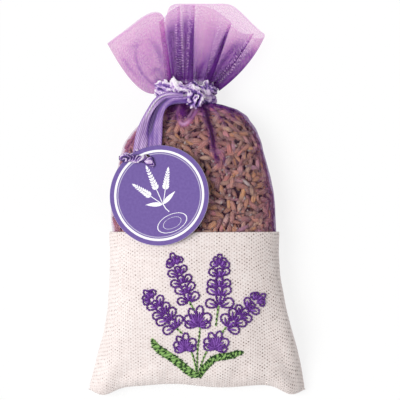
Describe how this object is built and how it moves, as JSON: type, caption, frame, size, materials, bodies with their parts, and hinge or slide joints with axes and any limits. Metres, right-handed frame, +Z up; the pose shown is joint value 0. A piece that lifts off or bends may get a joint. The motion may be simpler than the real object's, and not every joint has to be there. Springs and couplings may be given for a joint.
{
  "type": "lavender sachet",
  "caption": "Linen and organza pouch filled with dried lavender, gathered by a satin ribbon whose tails carry a round card tag, with a lavender sprig stitched on the linen.",
  "frame": {"origin": "on the surface that the sachet lies on, under the middle of its outline", "axes": "+X to the right of the sachet seen from the front, +Y from the linen pocket to the ruffle, +Z up out of the front that carries the tag and the sprig"},
  "size_m": [0.095, 0.1736, 0.0325],
  "materials": {
    "linen": "matte",
    "organza": "satin",
    "dried_lavender": "matte",
    "cream_thread": "matte",
    "satin_ribbon": "satin",
    "tag_card": "satin",
    "violet_thread": "satin",
    "green_thread": "satin"
  },
  "bodies": {
    "pouch": {"linen_front_panel": "linen", "linen_back_panel": "linen", "organza_front_panel": "organza", "organza_back_panel": "organza", "lavender_fill": "dried_lavender", "side_seam_left": "cream_thread", "side_seam_right": "cream_thread", "bottom_seam": "cream_thread", "hem_seam_front": "cream_thread", "hem_seam_back": "cream_thread", "drawstring_ribbon": "satin_ribbon", "ribbon_knot": "satin_ribbon", "spike_inner_left": "violet_thread", "spike_inner_right": "violet_thread", "spike_outer_left": "violet_thread", "spike_outer_right": "violet_thread", "floret_middle": "violet_thread", "floret_left": "violet_thread", "floret_right": "violet_thread", "stem_inner_left": "green_thread", "stem_inner_right": "green_thread", "stem_outer_left": "green_thread", "stem_outer_right": "green_thread", "stem_middle": "green_thread", "stem_left": "green_thread", "stem_right": "green_thread", "leaf_left": "green_thread", "leaf_right": "green_thread"},
    "ribbon_tails": {"ribbon_tail_left": "satin_ribbon", "ribbon_tail_right": "satin_ribbon"},
    "tag_tie": {"tag_loop": "satin_ribbon", "ribbon_end": "satin_ribbon"},
    "tag": {"tag_card": "tag_card"}
  },
  "joints": [
    {"name": "ribbon_lift", "type": "hinge", "parent": "pouch", "child": "ribbon_tails", "pos_m": [-0.0028, 0.0428, 0.023], "axis": [-0.8168, 0.5769, 0], "range_deg": [0, 90]},
    {"name": "tag_lift", "type": "hinge", "parent": "ribbon_tails", "child": "tag_tie", "pos_m": [-0.0219, 0.0235, 0.0254], "axis": [-0.986, -0.013, -0.166], "range_deg": [0, 120]},
    {"name": "tag_swivel", "type": "hinge", "parent": "tag_tie", "child": "tag", "pos_m": [-0.02193, 0.01736, 0.02589], "axis": [-0.167, 0.079, 0.9828], "range_deg": [-5, 10]}
  ]
}
